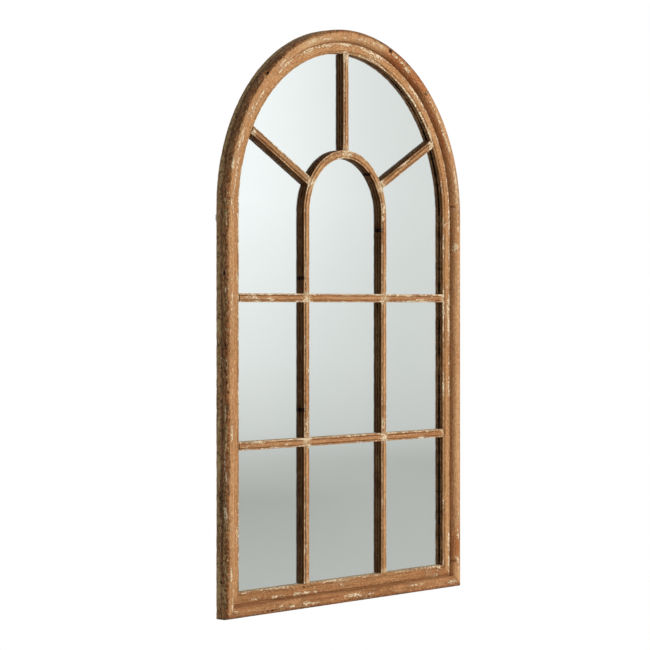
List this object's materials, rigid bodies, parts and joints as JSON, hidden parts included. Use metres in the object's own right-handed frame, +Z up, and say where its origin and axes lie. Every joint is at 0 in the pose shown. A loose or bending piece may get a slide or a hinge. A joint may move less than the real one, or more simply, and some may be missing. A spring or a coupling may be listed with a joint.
{
  "type": "arched wall mirror",
  "caption": "Arched wooden wall mirror with window-style glazing bars, a bead-moulded frame, a screwed backing board and swinging D-ring hangers.",
  "frame": {"origin": "on the wall, halfway between the two hanging rings, at the height of their hinge line", "axes": "+X across the mirror to the right as seen from the front, +Y into the wall, +Z up"},
  "size_m": [0.8, 0.039, 1.264],
  "materials": {
    "outer_wood": "stained pine, worn",
    "sash_wood": "stained pine, worn",
    "bar_wood": "stained pine, worn",
    "spline_wood": "bare",
    "mirror": "silvered",
    "packing_card": "bare",
    "board": "hardboard, smooth",
    "screw_steel": "yellow zinc",
    "hanger_steel": "nickel plated",
    "bumper_rubber": "matt"
  },
  "bodies": {
    "frame": {"outer_stile_left": "outer_wood", "outer_stile_right": "outer_wood", "outer_rail_bottom": "outer_wood", "outer_arch_1": "outer_wood", "outer_arch_2": "outer_wood", "outer_arch_3": "outer_wood", "outer_arch_4": "outer_wood", "sash_stile_left": "sash_wood", "sash_stile_right": "sash_wood", "sash_rail_bottom": "sash_wood", "sash_arch_1": "sash_wood", "sash_arch_2": "sash_wood", "sash_arch_3": "sash_wood", "sash_arch_4": "sash_wood", "bar_cross_lower": "bar_wood", "bar_cross_upper": "bar_wood", "bar_upright_left": "bar_wood", "bar_upright_right": "bar_wood", "inner_arch_left": "bar_wood", "inner_arch_right": "bar_wood", "spoke_left": "bar_wood", "spoke_middle": "bar_wood", "spoke_right": "bar_wood", "mirror_glass": "mirror", "packing_sheet": "packing_card", "backing_board": "board", "spline_corner_left": "spline_wood", "spline_corner_right": "spline_wood", "spline_arch_1": "spline_wood", "spline_arch_2": "spline_wood", "spline_arch_3": "spline_wood", "spline_arch_4": "spline_wood", "spline_arch_5": "spline_wood", "board_screw_01": "screw_steel", "board_screw_02": "screw_steel", "board_screw_03": "screw_steel", "board_screw_04": "screw_steel", "board_screw_05": "screw_steel", "board_screw_06": "screw_steel", "board_screw_07": "screw_steel", "board_screw_08": "screw_steel", "board_screw_09": "screw_steel", "board_screw_10": "screw_steel", "board_screw_11": "screw_steel", "board_screw_12": "screw_steel", "board_screw_13": "screw_steel", "hanger_strap_left": "hanger_steel", "hanger_strap_right": "hanger_steel", "hanger_screw_left_upper": "screw_steel", "hanger_screw_left_lower": "screw_steel", "hanger_screw_right_upper": "screw_steel", "hanger_screw_right_lower": "screw_steel", "bumper_left": "bumper_rubber", "bumper_right": "bumper_rubber"},
    "ring_left": {"hanger_ring_left": "hanger_steel"},
    "ring_right": {"hanger_ring_right": "hanger_steel"}
  },
  "joints": [
    {"name": "ring_left_swing", "type": "hinge", "parent": "frame", "child": "ring_left", "pos_m": [-0.38615, -0.0032, 0], "axis": [1, 0, 0], "range_deg": [0, 180]},
    {"name": "ring_right_swing", "type": "hinge", "parent": "frame", "child": "ring_right", "pos_m": [0.38615, -0.0032, 0], "axis": [1, 0, 0], "range_deg": [0, 180]}
  ]
}
